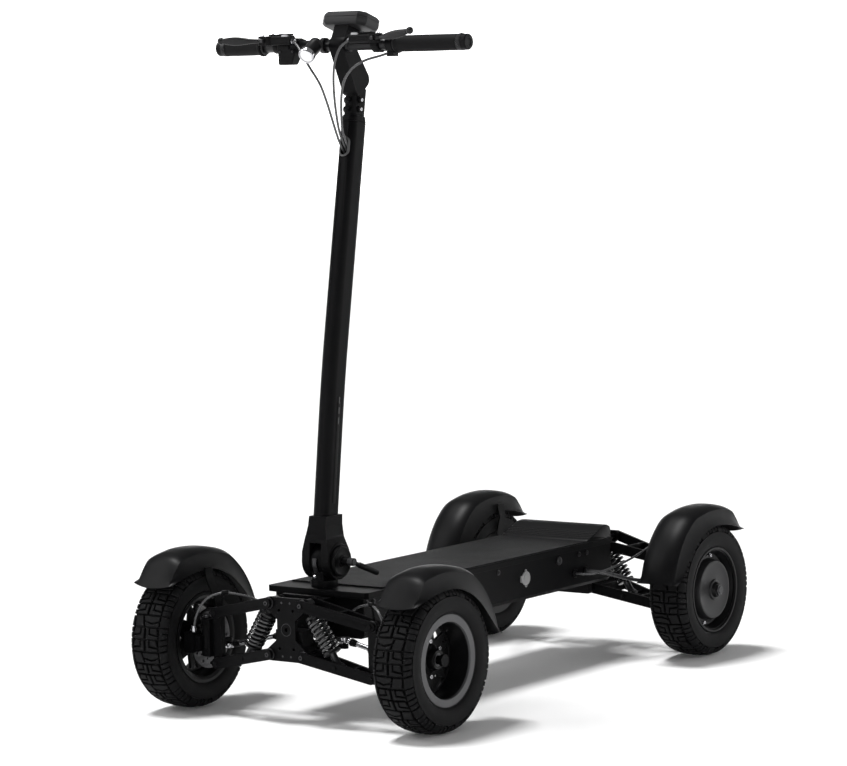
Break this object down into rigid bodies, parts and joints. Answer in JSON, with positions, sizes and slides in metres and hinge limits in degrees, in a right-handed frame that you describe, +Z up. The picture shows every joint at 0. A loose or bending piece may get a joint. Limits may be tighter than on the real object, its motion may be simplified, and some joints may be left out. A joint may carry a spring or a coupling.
{
  "type": "electric skateboard",
  "caption": "Stand-up electric board with a long deck, sprung knobbly wheels on double wishbones, and a folding steering column with handlebar.",
  "frame": {"origin": "on the ground below the middle of the wheelbase, bottom centre of the whole board", "axes": "+X forward, +Y to the rider's left, +Z up"},
  "size_m": [1.279, 0.69, 1.3693],
  "materials": {
    "painted_frame": "satin black powder coat",
    "grip_surface": "fine diagonal grip pattern",
    "moulded_black": "satin moulded plastic",
    "cells": "shrink-wrapped pack",
    "fitting_metal": "dull steel",
    "spring_steel": "gloss black spring",
    "rod_steel": "ground steel",
    "cable_jacket": "smooth jacket",
    "tyre": "knobbly tread",
    "wheel_alloy": "dark painted alloy",
    "grip_rubber": "fine ribbed rubber",
    "bar_alloy": "black anodised",
    "gloss_black": "gloss black casing",
    "lever_alloy": "black anodised lever"
  },
  "bodies": {
    "chassis": {"chassis_box": "painted_frame", "deck_plate": "painted_frame", "grip_mat": "grip_surface", "kick_pad": "moulded_black", "suspension_towers": "painted_frame", "battery_and_controller": "cells", "side_fittings": "fitting_metal", "coil_springs": "spring_steel", "wheel_cables": "cable_jacket"},
    "steering_post": {"steering_post": "painted_frame"},
    "steering_link": {"steering_link": "painted_frame"},
    "column": {"column_yoke": "painted_frame", "column_tube": "painted_frame", "gooseneck": "painted_frame", "handlebar": "bar_alloy", "grips": "grip_rubber", "display": "gloss_black", "headlight": "bar_alloy", "bar_controls": "moulded_black", "control_cables": "cable_jacket"},
    "fold_lever": {"fold_lever": "painted_frame"},
    "left_brake_lever": {"left_brake_lever": "lever_alloy"},
    "right_brake_lever": {"right_brake_lever": "lever_alloy"},
    "throttle_paddle": {"throttle_paddle": "moulded_black"},
    "front_left_upper_arm": {"front_left_upper_arm": "painted_frame"},
    "front_left_lower_arm": {"front_left_lower_arm": "painted_frame"},
    "front_left_upright": {"front_left_upright": "painted_frame"},
    "front_left_shock_body": {"front_left_shock_body": "bar_alloy"},
    "front_left_shock_rod": {"front_left_shock_rod": "rod_steel"},
    "front_left_knuckle": {"front_left_knuckle": "painted_frame", "front_left_fender": "moulded_black"},
    "front_left_wheel": {"front_left_rim": "wheel_alloy", "front_left_tyre": "tyre"},
    "front_left_tie_rod": {"front_left_tie_rod": "rod_steel"},
    "front_right_upper_arm": {"front_right_upper_arm": "painted_frame"},
    "front_right_lower_arm": {"front_right_lower_arm": "painted_frame"},
    "front_right_upright": {"front_right_upright": "painted_frame"},
    "front_right_shock_body": {"front_right_shock_body": "bar_alloy"},
    "front_right_shock_rod": {"front_right_shock_rod": "rod_steel"},
    "front_right_knuckle": {"front_right_knuckle": "painted_frame", "front_right_fender": "moulded_black"},
    "front_right_wheel": {"front_right_rim": "wheel_alloy", "front_right_tyre": "tyre"},
    "front_right_tie_rod": {"front_right_tie_rod": "rod_steel"},
    "rear_left_upper_arm": {"rear_left_upper_arm": "painted_frame"},
    "rear_left_lower_arm": {"rear_left_lower_arm": "painted_frame"},
    "rear_left_upright": {"rear_left_upright": "painted_frame", "rear_left_fender": "moulded_black"},
    "rear_left_shock_body": {"rear_left_shock_body": "bar_alloy"},
    "rear_left_shock_rod": {"rear_left_shock_rod": "rod_steel"},
    "rear_left_wheel": {"rear_left_hub_motor": "wheel_alloy", "rear_left_tyre": "tyre"},
    "rear_right_upper_arm": {"rear_right_upper_arm": "painted_frame"},
    "rear_right_lower_arm": {"rear_right_lower_arm": "painted_frame"},
    "rear_right_upright": {"rear_right_upright": "painted_frame", "rear_right_fender": "moulded_black"},
    "rear_right_shock_body": {"rear_right_shock_body": "bar_alloy"},
    "rear_right_shock_rod": {"rear_right_shock_rod": "rod_steel"},
    "rear_right_wheel": {"rear_right_hub_motor": "wheel_alloy", "rear_right_tyre": "tyre"}
  },
  "joints": [
    {"name": "steer", "type": "hinge", "parent": "chassis", "child": "steering_post", "pos_m": [0.44, 0, 0.2], "axis": [0, 0, 1], "range_deg": [-28, 28]},
    {"name": "steering_link_slide", "type": "slide", "parent": "chassis", "child": "steering_link", "axis": [0, 1, 0], "range_m": [-0.0175, 0.0175]},
    {"name": "column_fold", "type": "hinge", "parent": "steering_post", "child": "column", "pos_m": [0.433, 0, 0.303], "axis": [0, -1, 0], "range_deg": [0, 80]},
    {"name": "fold_clamp", "type": "hinge", "parent": "steering_post", "child": "fold_lever", "pos_m": [0.433, 0.04, 0.303], "axis": [0, 1, 0], "range_deg": [0, 110]},
    {"name": "left_brake", "type": "hinge", "parent": "column", "child": "left_brake_lever", "pos_m": [0.372, 0.112, 1.312], "axis": [0, 0, 1], "range_deg": [0, 13], "stiffness_Nm_per_rad": 4, "springref_deg": -6.88},
    {"name": "right_brake", "type": "hinge", "parent": "column", "child": "right_brake_lever", "pos_m": [0.372, -0.172, 1.312], "axis": [0, 0, -1], "range_deg": [0, 13], "stiffness_Nm_per_rad": 4, "springref_deg": -6.88},
    {"name": "throttle", "type": "hinge", "parent": "column", "child": "throttle_paddle", "pos_m": [0.343, -0.1513, 1.3], "axis": [0, -1, 0], "range_deg": [0, 30], "stiffness_Nm_per_rad": 0.5, "springref_deg": -8.59},
    {"name": "front_left_suspension", "type": "hinge", "parent": "chassis", "child": "front_left_upper_arm", "pos_m": [0.4985, 0.041, 0.234], "axis": [1, 0, 0], "range_deg": [-8, 12], "stiffness_Nm_per_rad": 450, "springref_deg": -1.89},
    {"name": "front_left_lower_pivot", "type": "hinge", "parent": "chassis", "child": "front_left_lower_arm", "pos_m": [0.4985, 0.041, 0.134], "axis": [1, 0, 0], "range_deg": [-8.5, 12.5]},
    {"name": "front_left_outer_pivot", "type": "hinge", "parent": "front_left_upper_arm", "child": "front_left_upright", "pos_m": [0.4985, 0.1885, 0.2013], "axis": [1, 0, 0], "range_deg": [-12.5, 8.5]},
    {"name": "front_left_shock_pivot", "type": "hinge", "parent": "chassis", "child": "front_left_shock_body", "pos_m": [0.547, 0.041, 0.234], "axis": [1, 0, 0], "range_deg": [-5, 6]},
    {"name": "front_left_shock_slide", "type": "slide", "parent": "front_left_shock_body", "child": "front_left_shock_rod", "axis": [0, -0.5257, 0.8507], "range_m": [-0.01, 0.013], "deforming": ["coil_springs", "wheel_cables"]},
    {"name": "front_left_kingpin", "type": "hinge", "parent": "front_left_upright", "child": "front_left_knuckle", "pos_m": [0.5375, 0.218, 0.15], "axis": [0, 0, 1], "range_deg": [-16, 16]},
    {"name": "front_left_axle", "type": "hinge", "parent": "front_left_knuckle", "child": "front_left_wheel", "pos_m": [0.4985, 0.2945, 0.141], "axis": [0, 1, 0], "continuous": true},
    {"name": "front_left_tie_rod_pivot", "type": "hinge", "parent": "steering_link", "child": "front_left_tie_rod", "pos_m": [0.474, 0.0705, 0.1575], "axis": [1, 0, 0], "range_deg": [-8.5, 12.5]},
    {"name": "front_right_suspension", "type": "hinge", "parent": "chassis", "child": "front_right_upper_arm", "pos_m": [0.4985, -0.041, 0.234], "axis": [-1, 0, 0], "range_deg": [-8, 12], "stiffness_Nm_per_rad": 450, "springref_deg": -1.89},
    {"name": "front_right_lower_pivot", "type": "hinge", "parent": "chassis", "child": "front_right_lower_arm", "pos_m": [0.4985, -0.041, 0.134], "axis": [-1, 0, 0], "range_deg": [-8.5, 12.5]},
    {"name": "front_right_outer_pivot", "type": "hinge", "parent": "front_right_upper_arm", "child": "front_right_upright", "pos_m": [0.4985, -0.1885, 0.2013], "axis": [-1, 0, 0], "range_deg": [-12.5, 8.5]},
    {"name": "front_right_shock_pivot", "type": "hinge", "parent": "chassis", "child": "front_right_shock_body", "pos_m": [0.547, -0.041, 0.234], "axis": [-1, 0, 0], "range_deg": [-5, 6]},
    {"name": "front_right_shock_slide", "type": "slide", "parent": "front_right_shock_body", "child": "front_right_shock_rod", "axis": [0, 0.5257, 0.8507], "range_m": [-0.01, 0.013]},
    {"name": "front_right_kingpin", "type": "hinge", "parent": "front_right_upright", "child": "front_right_knuckle", "pos_m": [0.5375, -0.218, 0.15], "axis": [0, 0, 1], "range_deg": [-16, 16]},
    {"name": "front_right_axle", "type": "hinge", "parent": "front_right_knuckle", "child": "front_right_wheel", "pos_m": [0.4985, -0.2945, 0.141], "axis": [0, 1, 0], "continuous": true},
    {"name": "front_right_tie_rod_pivot", "type": "hinge", "parent": "steering_link", "child": "front_right_tie_rod", "pos_m": [0.474, -0.0705, 0.1575], "axis": [-1, 0, 0], "range_deg": [-8.5, 12.5]},
    {"name": "rear_left_suspension", "type": "hinge", "parent": "chassis", "child": "rear_left_upper_arm", "pos_m": [-0.4985, 0.041, 0.234], "axis": [1, 0, 0], "range_deg": [-8, 12], "stiffness_Nm_per_rad": 450, "springref_deg": -1.26},
    {"name": "rear_left_lower_pivot", "type": "hinge", "parent": "chassis", "child": "rear_left_lower_arm", "pos_m": [-0.4985, 0.041, 0.134], "axis": [1, 0, 0], "range_deg": [-8.5, 12.5]},
    {"name": "rear_left_outer_pivot", "type": "hinge", "parent": "rear_left_upper_arm", "child": "rear_left_upright", "pos_m": [-0.4985, 0.1885, 0.2013], "axis": [1, 0, 0], "range_deg": [-12.5, 8.5]},
    {"name": "rear_left_shock_pivot", "type": "hinge", "parent": "chassis", "child": "rear_left_shock_body", "pos_m": [-0.4985, 0.041, 0.234], "axis": [1, 0, 0], "range_deg": [-5, 6]},
    {"name": "rear_left_shock_slide", "type": "slide", "parent": "rear_left_shock_body", "child": "rear_left_shock_rod", "axis": [0, -0.5257, 0.8507], "range_m": [-0.01, 0.013]},
    {"name": "rear_left_axle", "type": "hinge", "parent": "rear_left_upright", "child": "rear_left_wheel", "pos_m": [-0.4985, 0.2785, 0.141], "axis": [0, 1, 0], "continuous": true},
    {"name": "rear_right_suspension", "type": "hinge", "parent": "chassis", "child": "rear_right_upper_arm", "pos_m": [-0.4985, -0.041, 0.234], "axis": [-1, 0, 0], "range_deg": [-8, 12], "stiffness_Nm_per_rad": 450, "springref_deg": -1.26},
    {"name": "rear_right_lower_pivot", "type": "hinge", "parent": "chassis", "child": "rear_right_lower_arm", "pos_m": [-0.4985, -0.041, 0.134], "axis": [-1, 0, 0], "range_deg": [-8.5, 12.5]},
    {"name": "rear_right_outer_pivot", "type": "hinge", "parent": "rear_right_upper_arm", "child": "rear_right_upright", "pos_m": [-0.4985, -0.1885, 0.2013], "axis": [-1, 0, 0], "range_deg": [-12.5, 8.5]},
    {"name": "rear_right_shock_pivot", "type": "hinge", "parent": "chassis", "child": "rear_right_shock_body", "pos_m": [-0.4985, -0.041, 0.234], "axis": [-1, 0, 0], "range_deg": [-5, 6]},
    {"name": "rear_right_shock_slide", "type": "slide", "parent": "rear_right_shock_body", "child": "rear_right_shock_rod", "axis": [0, 0.5257, 0.8507], "range_m": [-0.01, 0.013]},
    {"name": "rear_right_axle", "type": "hinge", "parent": "rear_right_upright", "child": "rear_right_wheel", "pos_m": [-0.4985, -0.2785, 0.141], "axis": [0, 1, 0], "continuous": true}
  ],
  "couplings": [
    {"joint": "steering_link_slide", "follows": "steer", "m_per_rad": -0.034},
    {"joint": "front_left_lower_pivot", "follows": "front_left_suspension", "ratio": 1},
    {"joint": "front_left_outer_pivot", "follows": "front_left_suspension", "ratio": -1},
    {"joint": "front_left_shock_pivot", "follows": "front_left_suspension", "ratio": 0.372},
    {"joint": "front_left_shock_slide", "follows": "front_left_suspension", "m_per_rad": 0.0541},
    {"joint": "front_left_kingpin", "follows": "steer", "ratio": 0.5354},
    {"joint": "front_left_tie_rod_pivot", "follows": "front_left_suspension", "ratio": 1},
    {"joint": "front_right_lower_pivot", "follows": "front_right_suspension", "ratio": 1},
    {"joint": "front_right_outer_pivot", "follows": "front_right_suspension", "ratio": -1},
    {"joint": "front_right_shock_pivot", "follows": "front_right_suspension", "ratio": 0.372},
    {"joint": "front_right_shock_slide", "follows": "front_right_suspension", "m_per_rad": 0.0541},
    {"joint": "front_right_kingpin", "follows": "steer", "ratio": 0.5354},
    {"joint": "front_right_tie_rod_pivot", "follows": "front_right_suspension", "ratio": 1},
    {"joint": "rear_left_lower_pivot", "follows": "rear_left_suspension", "ratio": 1},
    {"joint": "rear_left_outer_pivot", "follows": "rear_left_suspension", "ratio": -1},
    {"joint": "rear_left_shock_pivot", "follows": "rear_left_suspension", "ratio": 0.372},
    {"joint": "rear_left_shock_slide", "follows": "rear_left_suspension", "m_per_rad": 0.0541},
    {"joint": "rear_right_lower_pivot", "follows": "rear_right_suspension", "ratio": 1},
    {"joint": "rear_right_outer_pivot", "follows": "rear_right_suspension", "ratio": -1},
    {"joint": "rear_right_shock_pivot", "follows": "rear_right_suspension", "ratio": 0.372},
    {"joint": "rear_right_shock_slide", "follows": "rear_right_suspension", "m_per_rad": 0.0541}
  ]
}
